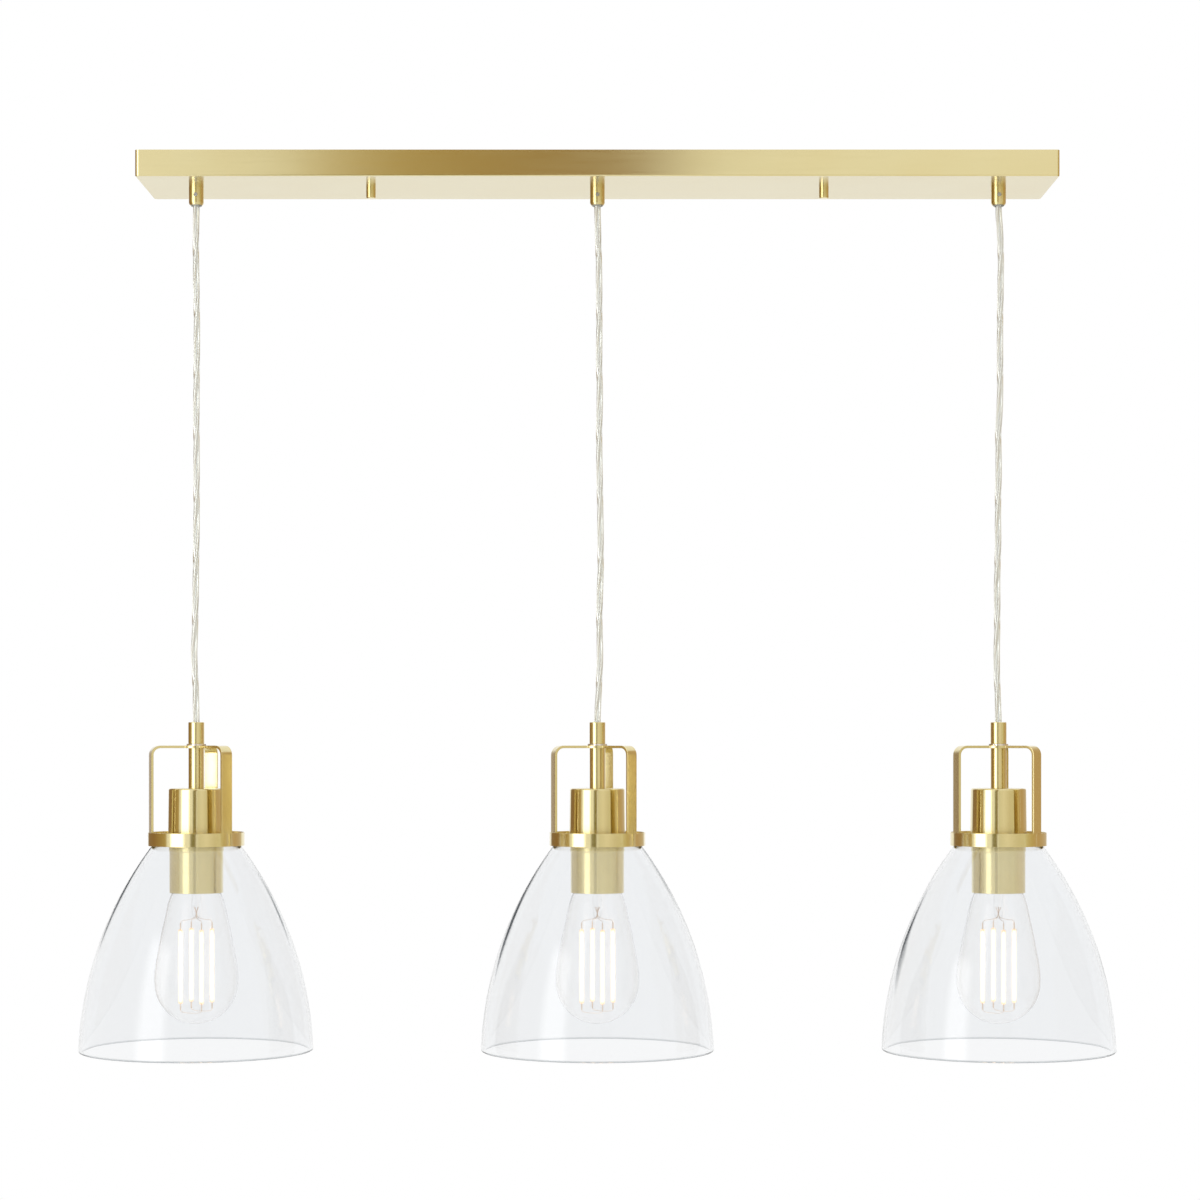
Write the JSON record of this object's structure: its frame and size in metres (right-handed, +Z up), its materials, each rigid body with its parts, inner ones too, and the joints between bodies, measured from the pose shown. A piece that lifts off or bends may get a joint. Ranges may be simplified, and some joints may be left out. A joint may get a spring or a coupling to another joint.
{
  "type": "linear island pendant",
  "caption": "Ceiling pendant with a long slim canopy, cords and bell-shaped clear glass shades hung in a row, each on a satin brass yoke and ring.",
  "frame": {"origin": "on the ceiling plane, at the middle of the bracket's two slots and of the row of lamps", "axes": "+Z up into the ceiling, +X along the row of lamps, -Y the side shown in the picture"},
  "size_m": [0.8, 0.18, 0.6868],
  "materials": {
    "satin_brass": "satin brushed, plated on steel",
    "zinc_steel": "zinc plated",
    "clear_glass": "clear blown glass",
    "bulb_glass": "clear thin glass",
    "clear_pvc": "clear jacket over tinned conductors",
    "clear_nylon": "natural nylon",
    "white_plastic": "moulded",
    "lampholder_body": "moulded phenolic",
    "contact_brass": "stamped",
    "bulb_cap_metal": "drawn, bright",
    "filament": "phosphor-coated strips, lit"
  },
  "bodies": {
    "canopy": {"canopy_pan": "satin_brass", "ceiling_bracket": "zinc_steel", "bracket_studs": "zinc_steel", "stud_nuts": "zinc_steel", "cap_nuts": "satin_brass", "grip_nuts": "zinc_steel", "grip_set_screws": "zinc_steel", "inner_leads": "clear_pvc", "terminal_block": "white_plastic", "cord_grip_left": "satin_brass", "cord_grip_centre": "satin_brass", "cord_grip_right": "satin_brass"},
    "bushing_left": {"cord_bushing_left": "clear_nylon"},
    "hanging_cord_left": {"cord_left": "clear_pvc"},
    "lamp_left": {"collar_left": "satin_brass", "lock_washer_left": "satin_brass", "yoke_left": "satin_brass", "stem_left": "satin_brass", "upper_cup_left": "satin_brass", "ring_cap_left": "satin_brass", "glass_shade_left": "clear_glass", "lower_cup_left": "satin_brass", "lampholder_left": "lampholder_body", "holder_contacts_left": "contact_brass"},
    "bulb_seat_left": {"bulb_contact_left": "contact_brass"},
    "bulb_left": {"bulb_cap_left": "bulb_cap_metal", "bulb_glass_left": "bulb_glass", "filaments_left": "filament"},
    "bushing_centre": {"cord_bushing_centre": "clear_nylon"},
    "hanging_cord_centre": {"cord_centre": "clear_pvc"},
    "lamp_centre": {"collar_centre": "satin_brass", "lock_washer_centre": "satin_brass", "yoke_centre": "satin_brass", "stem_centre": "satin_brass", "upper_cup_centre": "satin_brass", "ring_cap_centre": "satin_brass", "glass_shade_centre": "clear_glass", "lower_cup_centre": "satin_brass", "lampholder_centre": "lampholder_body", "holder_contacts_centre": "contact_brass"},
    "bulb_seat_centre": {"bulb_contact_centre": "contact_brass"},
    "bulb_centre": {"bulb_cap_centre": "bulb_cap_metal", "bulb_glass_centre": "bulb_glass", "filaments_centre": "filament"},
    "bushing_right": {"cord_bushing_right": "clear_nylon"},
    "hanging_cord_right": {"cord_right": "clear_pvc"},
    "lamp_right": {"collar_right": "satin_brass", "lock_washer_right": "satin_brass", "yoke_right": "satin_brass", "stem_right": "satin_brass", "upper_cup_right": "satin_brass", "ring_cap_right": "satin_brass", "glass_shade_right": "clear_glass", "lower_cup_right": "satin_brass", "lampholder_right": "lampholder_body", "holder_contacts_right": "contact_brass"},
    "bulb_seat_right": {"bulb_contact_right": "contact_brass"},
    "bulb_right": {"bulb_cap_right": "bulb_cap_metal", "bulb_glass_right": "bulb_glass", "filaments_right": "filament"}
  },
  "joints": [
    {"name": "swing_fore_aft_left", "type": "hinge", "parent": "canopy", "child": "bushing_left", "pos_m": [-0.31, 0, -0.032], "axis": [1, 0, 0], "range_deg": [-25, 25]},
    {"name": "swing_sideways_left", "type": "hinge", "parent": "bushing_left", "child": "hanging_cord_left", "pos_m": [-0.31, 0, -0.032], "axis": [0, 1, 0], "range_deg": [-5.5, 5.5]},
    {"name": "twist_left", "type": "hinge", "parent": "hanging_cord_left", "child": "lamp_left", "pos_m": [-0.31, 0, -0.433], "axis": [0, 0, 1], "range_deg": [-180, 180]},
    {"name": "bulb_travel_left", "type": "slide", "parent": "lamp_left", "child": "bulb_seat_left", "axis": [0, 0, 1], "range_m": [-0.0109, 0]},
    {"name": "bulb_turn_left", "type": "hinge", "parent": "bulb_seat_left", "child": "bulb_left", "pos_m": [-0.31, 0, -0.54], "axis": [0, 0, 1], "range_deg": [-1080, 0]},
    {"name": "swing_fore_aft_centre", "type": "hinge", "parent": "canopy", "child": "bushing_centre", "pos_m": [0, 0, -0.032], "axis": [1, 0, 0], "range_deg": [-25, 25]},
    {"name": "swing_sideways_centre", "type": "hinge", "parent": "bushing_centre", "child": "hanging_cord_centre", "pos_m": [0, 0, -0.032], "axis": [0, 1, 0], "range_deg": [-5.5, 5.5]},
    {"name": "twist_centre", "type": "hinge", "parent": "hanging_cord_centre", "child": "lamp_centre", "pos_m": [0, 0, -0.433], "axis": [0, 0, 1], "range_deg": [-180, 180]},
    {"name": "bulb_travel_centre", "type": "slide", "parent": "lamp_centre", "child": "bulb_seat_centre", "axis": [0, 0, 1], "range_m": [-0.0109, 0]},
    {"name": "bulb_turn_centre", "type": "hinge", "parent": "bulb_seat_centre", "child": "bulb_centre", "pos_m": [0, 0, -0.54], "axis": [0, 0, 1], "range_deg": [-1080, 0]},
    {"name": "swing_fore_aft_right", "type": "hinge", "parent": "canopy", "child": "bushing_right", "pos_m": [0.31, 0, -0.032], "axis": [1, 0, 0], "range_deg": [-25, 25]},
    {"name": "swing_sideways_right", "type": "hinge", "parent": "bushing_right", "child": "hanging_cord_right", "pos_m": [0.31, 0, -0.032], "axis": [0, 1, 0], "range_deg": [-5.5, 5.5]},
    {"name": "twist_right", "type": "hinge", "parent": "hanging_cord_right", "child": "lamp_right", "pos_m": [0.31, 0, -0.433], "axis": [0, 0, 1], "range_deg": [-180, 180]},
    {"name": "bulb_travel_right", "type": "slide", "parent": "lamp_right", "child": "bulb_seat_right", "axis": [0, 0, 1], "range_m": [-0.0109, 0]},
    {"name": "bulb_turn_right", "type": "hinge", "parent": "bulb_seat_right", "child": "bulb_right", "pos_m": [0.31, 0, -0.54], "axis": [0, 0, 1], "range_deg": [-1080, 0]}
  ],
  "couplings": [
    {"joint": "bulb_travel_left", "follows": "bulb_turn_left", "m_per_rad": 0.00057773},
    {"joint": "bulb_travel_centre", "follows": "bulb_turn_centre", "m_per_rad": 0.00057773},
    {"joint": "bulb_travel_right", "follows": "bulb_turn_right", "m_per_rad": 0.00057773}
  ]
}
